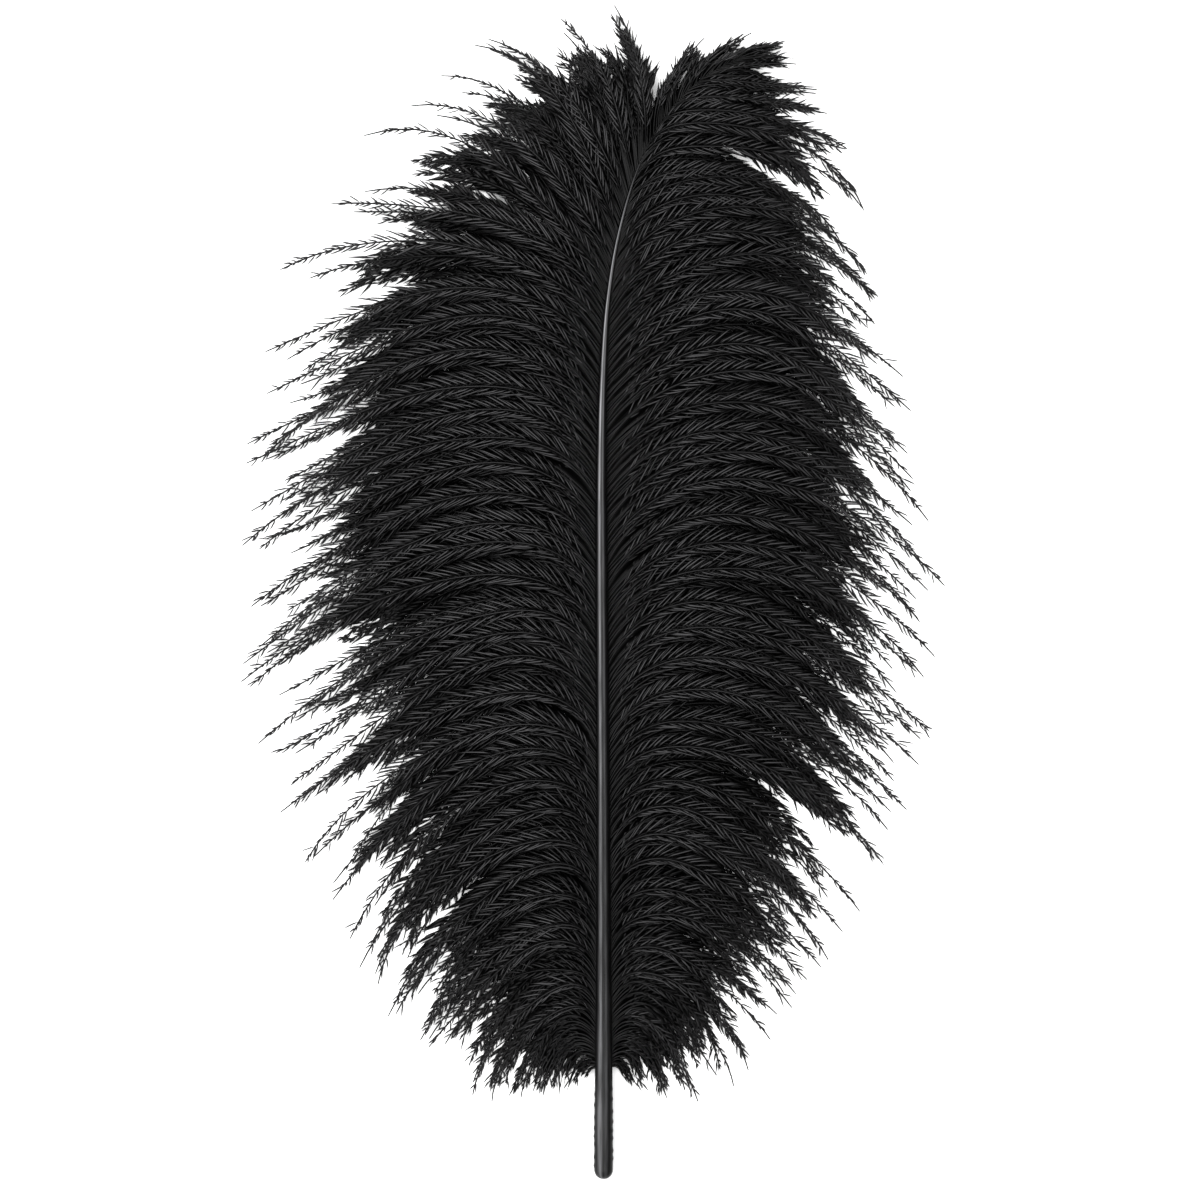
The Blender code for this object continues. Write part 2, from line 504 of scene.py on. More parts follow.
@dataclass
class Strands:
    """Gathers vertices, faces and map places, and makes one mesh of them."""

    points: list = field(default_factory=list)
    places: list = field(default_factory=list)
    triangles: list = field(default_factory=list)
    count: int = 0

    def put(self, points: np.ndarray, places: np.ndarray, triangles: np.ndarray) -> None:
        """Adds a body of points.

        Args:
            points: places of the vertices, in millimetres.
            places: where each vertex is on the map.
            triangles: three vertex numbers each, counted from 0.
        """
        self.points.append(points)
        self.places.append(places)
        self.triangles.append(triangles + self.count)
        self.count += len(points)

    def mesh(self, name: str, to_frame: Vector) -> bpy.types.Mesh:
        """Joins everything that was put in.

        Args:
            name: the mesh's name.
            to_frame: where the foot of the quill is, in metres.

        Returns:
            The mesh, in the frame.
        """
        points = np.concatenate(self.points) * MM + np.array(to_frame)
        triangles = np.concatenate(self.triangles).astype(np.int32)
        places = np.concatenate(self.places)
        mesh = bpy.data.meshes.new(name)
        mesh.vertices.add(len(points))
        mesh.vertices.foreach_set("co", points.astype(np.float32).ravel())
        mesh.loops.add(triangles.size)
        mesh.loops.foreach_set("vertex_index", triangles.ravel())
        mesh.polygons.add(len(triangles))
        mesh.polygons.foreach_set("loop_start", np.arange(0, triangles.size, 3, dtype=np.int32))
        mesh.update(calc_edges=True)
        layer = mesh.uv_layers.new(name=MAP_NAME)
        layer.data.foreach_set("uv", places[triangles.ravel()].astype(np.float32).ravel())
        mesh.shade_smooth()
        return mesh


@dataclass
class Shaft:
    """The quill and rachis: one tube that narrows to the tip, with a groove along its upper face.

    Lengths are in millimetres. The groove's depth, width and offset and the scars' height are parts of the
    radius, and a scar's size is its length and its turn round the quill in radians.
    """

    arch_height: float = 13.0
    arch_span: float = 560.0
    foot_rings: int = 8
    fine_length: float = 60.0
    fine_step: float = 0.6
    ring_step: float = 2.0
    sides: int = 44
    groove_depth: float = 0.2
    groove_width: float = 0.17
    groove_offset: float = 0.04
    groove_sets_in: tuple = (12.0, 52.0)
    scars: tuple = (7.5, 11, 16.5, 20, 23.5, 28, 33.5, 38)
    scar_size: tuple = (0.9, 0.35)
    scar_height: float = 0.07
    scar_slant: float = 60.0
    tip_length: float = 0.6
    finish: KeratinFinish = KeratinFinish()

    def __post_init__(self) -> None:
        """Works out the distance of each point of the path along it."""
        path = np.array(SHAFT_PATH, float)
        steps = np.linalg.norm(np.diff(path[:, :2], axis=0), axis=1)
        self.curve = Curve(np.concatenate(([0.0], np.cumsum(steps))), path)
        self.length = float(self.curve.stations[-1])
        self.foot = float(path[0, 2])

    def point(self, distance: np.ndarray) -> np.ndarray:
        """Middle of the shaft at each distance from its foot."""
        row = self.curve.at(distance)
        height = self.foot + self.arch_height * np.sin(np.pi * np.atleast_1d(distance) / self.arch_span)
        return np.column_stack((row[:, 0], row[:, 1], height))

    def radius(self, distance: np.ndarray) -> np.ndarray:
        """Radius of the shaft at each distance, closing in a half ball at the foot."""
        distance = np.atleast_1d(distance)
        closing = np.clip(1 - distance / self.foot, 0, 1)
        return self.curve.at(distance)[:, 2] * np.sqrt(np.maximum(1 - closing**2, 0))

    def across(self, distance: np.ndarray) -> np.ndarray:
        """Level direction to the shaft's right at each distance."""
        along = self.point(np.asarray(distance) + 0.5) - self.point(np.asarray(distance) - 0.5)
        return unit(np.column_stack((along[:, 1], -along[:, 0], np.zeros(len(along)))))

    def build(self, to_frame: Vector) -> bpy.types.Object:
        """Makes the shaft in place of its CAD node.

        Args:
            to_frame: where the foot of the quill is, in metres.

        Returns:
            The shaft.
        """
        closing = self.foot * (1 - np.cos(np.linspace(0, np.pi / 2, self.foot_rings + 2)[1:-1]))
        quill = np.arange(self.foot, self.foot + self.fine_length, self.fine_step)
        rings = int((self.length - quill[-1]) / self.ring_step)
        rest = np.linspace(quill[-1] + self.ring_step, self.length, rings)
        distance = np.concatenate((closing, quill, rest))
        middle, right = self.point(distance), self.across(distance)
        ahead = unit(np.gradient(middle, axis=0))
        up = unit(np.cross(right, ahead))
        angle = np.linspace(-np.pi, np.pi, self.sides, endpoint=False)
        sideways, upwards = np.sin(angle), np.cos(angle)
        depth = self.groove_depth * smoothstep(*self.groove_sets_in, distance)
        groove = np.exp(-(((sideways + self.groove_offset) / self.groove_width) ** 2)) * (upwards > 0)
        size = self.radius(distance)[:, None] * (1 - depth[:, None] * groove[None, :])
        for number, place in enumerate(self.scars):
            for turn in (-90 + 9 * number % 25, 90 - 7 * number % 25):
                near = ((distance[:, None] - place - turn / self.scar_slant) / self.scar_size[0]) ** 2
                near = near + ((angle[None, :] - np.radians(turn)) / self.scar_size[1]) ** 2
                size = size * (1 + self.scar_height * np.exp(-near))
        ring = (
            middle[:, None, :]
            + right[:, None, :] * (size * sideways)[:, :, None]
            + up[:, None, :] * (size * upwards)[:, :, None]
        )
        count, sides = len(distance), self.sides
        ends = np.stack((self.point(0.0)[0], self.point(self.length + self.tip_length)[0]))
        points = np.concatenate((ring.reshape(-1, 3), ends))
        around = np.linspace(0, 1, sides, endpoint=False)
        places = np.stack(np.broadcast_arrays(around[None, :], distance[:, None] / self.length), axis=-1)
        places = np.concatenate((places.reshape(-1, 2), ((0.5, 0.0), (0.5, 1.0))))
        strands = Strands()
        strands.put(points, places, tube_faces(count, sides))
        shaft = bpy.data.objects.new("quill_and_rachis", strands.mesh("quill_and_rachis", to_frame))
        bpy.context.scene.collection.objects.link(shaft)
        shaft.data.materials.append(self.finish.material())
        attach(shaft, "root")
        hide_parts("shaft")
        return shaft


def tube_faces(rings: int, sides: int) -> np.ndarray:
    """Triangles of a tube whose ends close on two more points.

    Args:
        rings: rings of the tube.
        sides: points in a ring, counted clockwise as seen from its far end.

    Returns:
        Three vertex numbers for each triangle: the rings come first, then the near end and the far end.
    """
    here = np.arange(sides)
    after = (here + 1) % sides
    base = np.arange(rings - 1)[:, None] * sides
    low, low_next = base + here, base + after
    high, high_next = low + sides, low_next + sides
    first = np.stack((low, high, high_next), axis=-1).reshape(-1, 3)
    second = np.stack((low, high_next, low_next), axis=-1).reshape(-1, 3)
    near, far, last = rings * sides, rings * sides + 1, (rings - 1) * sides
    foot = np.stack((np.full(sides, near), here, after), axis=-1)
    tip = np.stack((np.full(sides, far), last + after, last + here), axis=-1)
    return np.concatenate((first, second, foot, tip))


class Layer(Enum):
    """The layers that a vane's barbs lie in."""

    TOP = 0
    BESIDE = 1
    UNDER = 2


@dataclass(frozen=True)
class LayerSize:
    """What the barbs of one layer are like, in millimetres; a reach is a part of the guide barb's length.

    Each pair of gaps, lengths, widths and tones is a barbule's at the middle of the barb and at its tip, and
    taper is the two distances from the tip between which one turns into the other. The tones are painted
    light:
    the top layer is painted lighter and the two below it darker, as shade beneath it.
    """

    reach: tuple
    lift: tuple
    radius: float
    flatness: float
    gap: tuple
    length: tuple
    width: tuple
    taper: tuple
    bare_tip: float
    bare_root: float
    tone: tuple
    rings: tuple


# The tones are painted light and shade: the top layer is painted lighter and the two below it darker, as
# shade under it; towards the tips they come closer together.
LAYER_SIZES = {
    Layer.TOP: LayerSize(
        reach=(0.98, 1.04),
        lift=(6.4, 8.4),
        radius=0.42,
        flatness=0.5,
        gap=(3.4, 2.7),
        length=(14.0, 4.4),
        width=(1.0, 0.72),
        taper=(20, 66),
        bare_tip=6.5,
        bare_root=7,
        tone=(0.92, 0.76),
        rings=(0.3, 0.7),
    ),
    Layer.BESIDE: LayerSize(
        reach=(0.82, 1.01),
        lift=(2.8, 4.8),
        radius=0.4,
        flatness=0.5,
        gap=(3.4, 2.7),
        length=(12.5, 4.2),
        width=(1.0, 0.7),
        taper=(20, 62),
        bare_tip=6.5,
        bare_root=7,
        tone=(0.34, 0.6),
        rings=(0.3, 0.7),
    ),
    Layer.UNDER: LayerSize(
        reach=(0.46, 0.76),
        lift=(-3.0, 1.0),
        radius=0.6,
        flatness=0.6,
        gap=(2.6, 2.1),
        length=(11.5, 4.5),
        width=(2.0, 0.8),
        taper=(4, 34),
        bare_tip=3,
        bare_root=6,
        tone=(0.13, 0.38),
        rings=(0.42,),
    ),
}
ROOT_WIDTHS = (0.56, 0.56, 0.6)
ROOT_THICKNESS = 0.8
TIP_RADIUS = 0.43
# Painted shade beside the shaft: the tones a barb's root is painted, from where it leaves the shaft to 9 mm
# out.
ROOT_PAINTED_SHADE = (0.0, 0.17)


@dataclass
class Barbs:
    """A family of barbs as arrays, one entry a barb.

    The fields with a single value hold for all: lengths in millimetres, and the ranges as parts of the barb's
    length over which its swing and its lift set in and fade.
    """

    root: np.ndarray
    crest: np.ndarray
    middle: np.ndarray
    tip: np.ndarray
    sweep: np.ndarray
    base_height: np.ndarray
    crest_height: np.ndarray
    rest_height: np.ndarray
    lift: np.ndarray
    wave: np.ndarray
    phase: np.ndarray
    tone: np.ndarray
    layer: np.ndarray
    flat_from: float = 0.8
    sweep_length: float = 6.0
    swings: float = 6.5
    swing_sets_in: tuple = (0.05, 0.4)
    lift_sets_in: tuple = (0.03, 0.24)
    lift_fades: tuple = (0.45, 1)
    lift_lost: float = 0.7
    softness: float = 0.6
    tip_tone_zone: tuple = (10, 45)

    @property
    def length(self) -> np.ndarray:
        """Length of each barb, near enough."""
        return np.linalg.norm(self.crest - self.root, axis=1) + np.linalg.norm(self.tip - self.crest, axis=1)

    def size(self, name: str, end: int | None = None) -> np.ndarray:
        """One of the sizes of each barb's layer.

        Args:
            name: which size.
            end: which of a pair, where the size is a pair.

        Returns:
            The size for each barb.
        """
        sizes = [getattr(LAYER_SIZES[layer], name) for layer in Layer]
        return np.array(sizes if end is None else [pair[end] for pair in sizes])[self.layer]

    def point(self, index: np.ndarray, t: np.ndarray) -> np.ndarray:
        """Places along the barbs.

        Args:
            index: which barb each place is on.
            t: how far along the barb it is, from 0 to 1.

        Returns:
            The places, in millimetres.
        """
        s = t[:, None]
        # The cubic through the root, the crest at a third, the middle at two thirds and the tip.
        plan = (
            self.root[index] * -4.5 * (s - 1 / 3) * (s - 2 / 3) * (s - 1)
            + self.crest[index] * 13.5 * s * (s - 2 / 3) * (s - 1)
            - self.middle[index] * 13.5 * s * (s - 1 / 3) * (s - 1)
            + self.tip[index] * 4.5 * s * (s - 1 / 3) * (s - 2 / 3)
        )
        plan = plan - self.sweep[index] * np.exp(-t * self.length[index] / self.sweep_length)[:, None]
        swing = self.wave[index] * np.sin(self.swings * t + self.phase[index])
        swing = swing * smoothstep(*self.swing_sets_in, t)
        fall = unit(self.tip - self.crest)[index]
        plan = plan + np.column_stack((-fall[:, 1], fall[:, 0])) * swing[:, None]
        u = np.clip(t / self.flat_from, 0, 1)
        height = self.base_height[index] * (1 - u * u * (3 - 2 * u))
        height += self.crest_height[index] * 16 * (u * (1 - u)) ** 2
        fade = 1 - self.lift_lost * smoothstep(*self.lift_fades, t)
        height += self.lift[index] * smoothstep(*self.lift_sets_in, t) * fade
        return np.column_stack((plan, settle(height, self.rest_height[index], self.softness)))

    def frame_at(self, index: np.ndarray, t: np.ndarray) -> tuple[np.ndarray, np.ndarray, np.ndarray]:
        """Directions along, across and above the barbs.

        Args:
            index: which barb each place is on.
            t: how far along the barb it is.

        Returns:
            Unit vectors ahead, to the right and up.
        """
        ahead = unit(self.point(index, t + 0.004) - self.point(index, t - 0.004))
        right = unit(np.column_stack((ahead[:, 1], -ahead[:, 0], np.zeros(len(t)))))
        return ahead, right, np.cross(right, ahead)

    def layer_shade_at(self, index: np.ndarray, t: np.ndarray) -> np.ndarray:
        """How light the strands of each place's layer are painted there, from 0 to 1: painted shade by layer,
        easing towards the tip.
        """
        outer = 1 - smoothstep(*self.tip_tone_zone, (1 - t) * self.length[index])
        return self.size("tone", 0)[index] * (1 - outer) + self.size("tone", 1)[index] * outer

    def part(self, chosen: np.ndarray) -> "Barbs":
        """Some of the barbs."""
        arrays = {name: value for name, value in vars(self).items() if isinstance(value, np.ndarray)}
        return Barbs(**{name: value[chosen] for name, value in arrays.items()})


def blade_faces(rings: int) -> np.ndarray:
    """Triangles of a closed three-sided blade: its root, its rings of two edges and a ridge, its tip."""
    ring = np.array((1, 2, 3))
    after = np.array((2, 3, 1))
    faces = [np.stack((np.zeros(3, int), ring, after), axis=-1)]
    for number in range(rings - 1):
        low, high = number * 3, number * 3 + 3
        faces.append(np.stack((ring + low, ring + high, after + high), axis=-1))
        faces.append(np.stack((ring + low, after + high, after + low), axis=-1))
    last = (rings - 1) * 3
    faces.append(np.stack((np.full(3, rings * 3 + 1), after + last, ring + last), axis=-1))
    return np.concatenate(faces)


@dataclass
class Vane:
    """One side of the plume: its barbs in locks, and their barbules.

    Lengths are in millimetres and turns in degrees. A triple of draws or turns has one entry for each layer.
    """

    side: Side
    guides: tuple
    tufts: tuple
    shaft: Shaft
    seed: int
    crowded: tuple
    thin_at: float
    thinning: float
    parting: float
    spacing: float = 1.5
    foot_length: float = 50.0
    thin_width: float = 5.0
    lock_pitch: float = 11.5
    twig_pitch: float = 6.2
    root_jitter: float = 0.2
    lock_jitter: float = 0.2
    twig_jitter: float = 0.3
    tuft_half: float = 14.0
    parting_half: float = 7.0
    draws: tuple = (0.2, 0.2, 0.8)
    turns: tuple = (0.8, 1.4, 0.9)
    twig_turn: float = 1.4
    stray_turn: float = 6.0
    stray_share: float = 0.12
    bow_spread: float = 0.012
    full_length: float = 100.0
    pieces: int = 5
    tube_rings: int = 28
    barbule_thickness: float = 0.42
    barbule_angle: float = 20.5
    barbule_bend: tuple = (8, 3)
    barbule_droop: tuple = (0.15, 0.06)
    down_rings: int = 8
    down_length: float = 34.0
    down_width: float = 2.2
    down_lift: float = -2.0
    crest_rise: float = 0.065
    crest_most: float = 9.0
    root_drop: float = 0.4
    root_sweep: float = 4.5
    least_height: float = 0.25

    def stations(self) -> np.ndarray:
        """Distances of the barbs' roots along the shaft: closer at the foot of the vane and at the tip."""
        start, end = self.guides[0][0], self.guides[-1][0]
        along = np.linspace(start, end, 2000)
        foot, tip = self.crowded
        density = 1 + foot * (1 - smoothstep(start, start + self.foot_length, along))
        density += tip * smoothstep(*CROWD_SETS_IN, along) * (1 - 0.9 * smoothstep(*CROWD_ENDS, along))
        density *= 1 - 0.2 * smoothstep(*PLUME_THINS, along)
        density *= 1 - self.thinning * np.exp(-(((along - self.thin_at) / self.thin_width) ** 2))
        total = np.cumsum(density) * (along[1] - along[0]) / self.spacing
        return np.interp(np.arange(1, int(total[-1])), total, along)

    def barbs(self) -> Barbs:
        """Lays out the barbs along the shaft, gathered into locks and the locks into tufts."""
        rng = np.random.default_rng(self.seed)
        curve = Curve.through(self.guides)
        start, end = curve.stations[0], curve.stations[-1]
        distance = self.stations()
        count = len(distance)
        jitter = rng.uniform(-self.root_jitter, self.root_jitter, count)
        distance = np.clip(distance + jitter * self.spacing, start, end)
        locks = int((end - start) / self.lock_pitch) + 1
        jitter = rng.uniform(-self.lock_jitter, self.lock_jitter, locks)
        centre = start + (np.arange(locks) + 0.5 + jitter) * self.lock_pitch
        lock = np.abs(distance[:, None] - centre[None, :]).argmin(axis=1)
        twigs = int((end - start) / self.twig_pitch) + 1
        jitter = rng.uniform(-self.twig_jitter, self.twig_jitter, twigs)
        shoot = start + (np.arange(twigs) + 0.5 + jitter) * self.twig_pitch
        twig = np.abs(distance[:, None] - shoot[None, :]).argmin(axis=1)
        tufts = np.concatenate(self.tufts)
        to_tuft = tufts[np.abs(distance[:, None] - tufts[None, :]).argmin(axis=1)] - distance
        layer = np.full(count, Layer.UNDER.value)
        for leaders, kind in ((shoot, Layer.BESIDE), (centre, Layer.TOP)):
            layer[np.abs(distance[:, None] - leaders[None, :]).argmin(axis=0)] = kind.value
        sizes = [LAYER_SIZES[kind] for kind in Layer]
        low, high = (np.array([size.reach[end] for size in sizes])[layer] for end in (0, 1))
        ends = 1 - smoothstep(*LOWER_PART_ENDS, distance) * (1 - smoothstep(*PLUME_SETS_IN, distance))
        high = high + 0.14 * ends * (layer == Layer.UNDER.value)
        reach = rng.uniform(low, high) * rng.normal(1, 0.03, locks)[lock]
        reach = reach * (1.02 - 0.06 * np.clip(np.abs(to_tuft) / self.tuft_half, 0, 1) ** 2)
        reach = reach * (1 + 0.045 * smoothstep(*CROWN_GROWS, distance))
        low, high = (np.array([size.lift[end] for size in sizes])[layer] for end in (0, 1))
        lift = rng.uniform(low, high) + rng.uniform(-0.8, 0.8, locks)[lock]
        to_centre = centre[lock] - distance
        gathered = 0.3 + 0.7 * smoothstep(*LOCKS_SET_IN, distance)
        cleft = smoothstep(*CLEFTS_SET_IN, distance)
        aside = np.clip(to_tuft, -self.parting_half, self.parting_half) * self.parting * cleft
        crest = curve.at(np.clip(distance + to_centre * 0.2 * gathered + aside, start, end))[:, 0:2]
        draw = np.array(self.draws)[layer] * gathered
        pull = 0.24 * smoothstep(*PULL_SETS_IN, distance) + 0.5 * cleft
        aside = np.clip(to_tuft, -self.tuft_half, self.tuft_half) * pull
        aim = np.clip(distance + (shoot[twig] - distance) * draw + aside, start, end)
        tip = curve.at(aim)[:, 2:4]
        root, radius = self.shaft.point(distance), self.shaft.radius(distance)
        edge = self.shaft.across(distance)[:, :2] * self.side.value * (radius * 0.85)[:, None]
        over = smoothstep(*RACHIS_NARROWS, distance)
        edge = root[:, :2] + edge * (1 - over[:, None])
        along = self.shaft.point(distance + 0.5)[:, :2] - self.shaft.point(distance - 0.5)[:, :2]
        fall = tip - crest
        stray = (rng.uniform(0, 1, count) < self.stray_share) * (layer == Layer.BESIDE.value)
        turn = rng.normal(0, self.twig_turn, twigs)[twig] + rng.normal(0, np.array(self.turns)[layer])
        turn = np.radians(turn + rng.normal(0, self.stray_turn, count) * stray)
        cos, sin = np.cos(turn), np.sin(turn)
        fall = np.column_stack((fall[:, 0] * cos - fall[:, 1] * sin, fall[:, 0] * sin + fall[:, 1] * cos))
        fall = fall * reach[:, None]
        tip = crest + fall
        bow = curve.at(distance)[:, 4] + rng.normal(0, self.bow_spread, locks)[lock]
        bow = bow + rng.normal(0, self.bow_spread, count)
        sideways = np.column_stack((-fall[:, 1], fall[:, 0])) * self.side.value
        length = np.linalg.norm(crest - edge, axis=1) + np.linalg.norm(fall, axis=1)
        share = np.clip(length / self.full_length, 0.2, 1)
        sweep = self.root_sweep * share * smoothstep(*SWEEP_SETS_IN, distance)
        return Barbs(
            root=edge,
            crest=crest,
            middle=(crest + tip) / 2 + sideways * bow[:, None],
            tip=tip,
            sweep=unit(along) * sweep[:, None],
            base_height=root[:, 2] - (0.3 + self.root_drop * radius) * (1 - over * 1.8),
            crest_height=np.minimum(self.crest_rise * length, self.crest_most),
            rest_height=rng.uniform(0.8, 1.8, count) + np.array((1.6, 0.8, 0.0))[layer],
            lift=lift * np.clip(length / 90, 0.25, 1),
            wave=rng.normal(0, 1.1, count) * share,
            phase=rng.uniform(0, 2 * np.pi, count),
            tone=rng.uniform(-0.1, 0.1, count) + rng.uniform(-0.08, 0.08, locks)[lock],
            layer=layer,
        )

    def lay_tubes(self, barbs: Barbs, strands: Strands) -> None:
        """Adds the barbs' own shafts, each a three-sided tube that ends in a hair.

        Args:
            barbs: the barbs.
            strands: where the mesh is gathered.
        """
        count, rings = len(barbs.lift), self.tube_rings
        index = np.repeat(np.arange(count), rings)
        every = np.tile(0.001 + 0.985 * np.linspace(0, 1, rings) ** 1.4, count)
        middle = barbs.point(index, every)
        _, right, up = barbs.frame_at(index, every)
        from_root, to_tip = every * barbs.length[index], (1 - every) * barbs.length[index]
        slim = smoothstep(14, 36, from_root)
        size = np.minimum(barbs.size("radius")[index], TIP_RADIUS + 0.4 * smoothstep(25, 70, to_tip))
        size = size * (0.72 + 0.28 * smoothstep(0, 9, to_tip))
        narrow = np.minimum(to_tip / 14, 1)
        wide = np.array(ROOT_WIDTHS)[barbs.layer[index]] * narrow * (1 - slim) + size * slim
        tall = ROOT_THICKNESS * narrow * (1 - slim) + size * barbs.size("flatness")[index] * slim
        angle = np.radians((-120.0, 120.0, 0.0))
        ring = (
            middle[:, None, :]
            + right[:, None, :] * (wide[:, None] * np.sin(angle))[:, :, None]
            + up[:, None, :] * (tall[:, None] * np.cos(angle))[:, :, None]
        )
        ends = [barbs.point(np.arange(count), np.full(count, t))[:, None, :] for t in (0.0, 1.0)]
        body = np.concatenate((ends[0], ring.reshape(count, rings * 3, 3), ends[1]), axis=1)
        # Painted highlight on each ring's ridge point, painted shade at its two edge points.
        painted_highlight = np.concatenate(((0.0,), np.tile((0.0, 0.0, 0.85), rings), (0.5,)))
        # Painted shade: the roots are painted darkest in the valley beside the shaft, giving way to the
        # layer's painted shade from 8 to 26 mm out.
        out_of_root_shade = smoothstep(8, 26, from_root)
        near = ROOT_PAINTED_SHADE[0] + (ROOT_PAINTED_SHADE[1] - ROOT_PAINTED_SHADE[0]) * smoothstep(0, 9, from_root)
        tone = near * (1 - out_of_root_shade) + barbs.layer_shade_at(index, every) * 0.5 * out_of_root_shade + barbs.tone[index]
        tone = tone.reshape(count, rings)
        tone = np.concatenate((tone[:, :1], np.repeat(tone, 3, axis=1), tone[:, -1:]), axis=1)
        self.put_blades(body, tone, painted_highlight, rings, strands)

    def lay_down(self, barbs: Barbs, strands: Strands) -> None:
        """Adds a flat ribbon of down under every barb's root, which closes the vane beside the shaft; it is
        painted dark as shade beneath the barbs.

        Args:
            barbs: the barbs.
            strands: where the mesh is gathered.
        """
        count, rings = len(barbs.lift), self.down_rings
        low = replace(barbs, lift=np.full(count, self.down_lift), base_height=barbs.base_height - 0.5)
        along = np.linspace(0, 1, rings)
        reach = np.minimum(self.down_length / barbs.length, 0.8)
        index = np.repeat(np.arange(count), rings)
        t = 0.002 + np.tile(along, count) * reach[index]
        middle = low.point(index, t)
        _, right, up = low.frame_at(index, t)
        wide = self.down_width * np.clip(barbs.length[index] / 60, 0.3, 1)
        wide = wide * np.tile(np.sin(np.pi * (0.2 + 0.78 * along)) ** 0.5, count)
        side = right * wide[:, None]
        ring = np.stack((middle - side, middle + side, middle + up * 0.25), axis=1)
        ends = [low.point(np.arange(count), end)[:, None, :] for end in (np.zeros(count), reach + 0.01)]
        body = np.concatenate((ends[0], ring.reshape(count, rings * 3, 3), ends[1]), axis=1)
        # Painted shade: the ribbon is painted dark, with only a faint painted highlight along its ridge.
        painted_highlight = np.concatenate(((0.2,), np.tile((0.1, 0.1, 0.35), rings), (0.2,)))
        self.put_blades(body, np.full(count, 0.1), painted_highlight, rings, strands)

    def put_blades(
        self, body: np.ndarray, tone: np.ndarray, painted_highlight: np.ndarray, rings: int, strands: Strands
    ) -> None:
        """Adds blades that share one make.

        Args:
            body: the points of each blade.
            tone: how light each blade, or each point of it, is, from 0 to 1: random tone with painted shade
                by layer and beside the shaft.
            painted_highlight: how light each point of a blade is painted, from 0 to 1: painted shade at its
                edges up to a painted highlight on its ridge.
            rings: rings of points in a blade.
            strands: where the mesh is gathered.
        """
        count, points = body.shape[:2]
        body[:, :, 2] = np.maximum(body[:, :, 2], self.least_height)
        spread = np.linspace(-0.004, 0.004, points)
        places = np.empty((count, points, 2))
        places[:, :, 0] = np.clip(tone.reshape(count, -1), 0.01, 0.99) + spread[None, :]
        places[:, :, 1] = painted_highlight[None, :]
        starts = (np.arange(count) * points)[:, None, None]
        triangles = (blade_faces(rings)[None, :, :] + starts).reshape(-1, 3)
        strands.put(body.reshape(-1, 3), places.reshape(-1, 2), triangles)

    def lay_barbules(self, barbs: Barbs, strands: Strands, rng: np.random.Generator) -> None:
        """Adds two rows of barbules to every barb of one layer: slim blades that point to its tip.

        Args:
            barbs: the barbs.
            strands: where the mesh is gathered.
            rng: the source of their small differences.
        """
        size = LAYER_SIZES[Layer(int(barbs.layer[0]))]
        grid = np.linspace(0, 1, 160)
        length = barbs.length
        from_root, to_tip = length[:, None] * grid, length[:, None] * (1 - grid)
        gap = size.gap[1] + (size.gap[0] - size.gap[1]) * smoothstep(*size.taper, to_tip)
        bare_root = np.minimum(size.bare_root, length * 0.15)[:, None]
        bare_tip = size.bare_tip * rng.uniform(0.5, 1.5, len(length))[:, None]
        bare = (to_tip < bare_tip) | (from_root < bare_root)
        density = np.where(bare, 0, 1 / gap) * length[:, None] / len(grid)
        total = np.cumsum(density, axis=1)
        for sign in (-1, 1):
            index, t = [], []
            for number, sums in enumerate(total):
                wanted = np.arange(0.3 + 0.5 * rng.uniform(), sums[-1], 1.0)
                wanted = wanted + rng.uniform(-0.25, 0.25, len(wanted))
                t.append(np.interp(np.minimum(wanted, sums[-1] - 0.01), sums, grid))
                index.append(np.full(len(wanted), number))
            self.lay_row(barbs, strands, rng, np.concatenate(index), np.concatenate(t), sign)

    def lay_row(
        self,
        barbs: Barbs,
        strands: Strands,
        rng: np.random.Generator,
        index: np.ndarray,
        t: np.ndarray,
        sign: int,
    ) -> None:
        """Adds the barbules on one edge of the barbs.

        Args:
            barbs: the barbs, all of one layer.
            strands: where the mesh is gathered.
            rng: the source of their small differences.
            index: which barb each barbule grows on.
            t: how far along the barb it grows.
            sign: 1 on the barb's right edge and -1 on its left.
        """
        sizes = LAYER_SIZES[Layer(int(barbs.layer[0]))]
        count = len(t)
        ahead, right, up = barbs.frame_at(index, t)
        whole = barbs.length[index]
        from_root, to_tip = t * whole, (1 - t) * whole
        full = smoothstep(*sizes.taper, to_tip) * (0.2 + 0.8 * smoothstep(3, 20, from_root))
        size = sizes.length[1] + (sizes.length[0] - sizes.length[1]) * full
        loose = 1 - smoothstep(10, 60, to_tip)
        size = size * np.maximum(rng.normal(1, 0.15 + 0.3 * loose), 0.3)
        angle = rng.normal(self.barbule_angle, 2.5 + 5.5 * loose) - 7 * (1 - smoothstep(4, 22, from_root))
        angle = np.radians(angle) - np.radians(2) * loose
        bend = np.radians(rng.normal(*self.barbule_bend, count))
        side = right * sign
        out = ahead * np.cos(angle + bend)[:, None] + side * np.sin(angle + bend)[:, None]
        inwards = ahead * np.cos(angle - bend)[:, None] + side * np.sin(angle - bend)[:, None]
        root = barbs.point(index, t)
        knee = root + out * (size * 0.5)[:, None]
        tip = knee + inwards * (size * 0.5)[:, None]
        droop = rng.normal(*self.barbule_droop, count) * size
        knee[:, 2] -= droop * 0.3
        tip[:, 2] -= droop
        for place in (knee, tip):
            place[:, 2] = settle(place[:, 2], 0.65, 0.3)
        width = sizes.width[1] + (sizes.width[0] - sizes.width[1]) * full
        width = width * rng.normal(1, 0.12, count)
        across = unit(np.cross(tip - root, up))
        thick = self.barbule_thickness * np.minimum(width / 0.8, 1)
        points = [root]
        for q in sizes.rings:
            middle = root * (1 - q) ** 2 + knee * 2 * q * (1 - q) + tip * q * q
            edge = across * (width * (1.1 - 0.5 * q) / 2)[:, None]
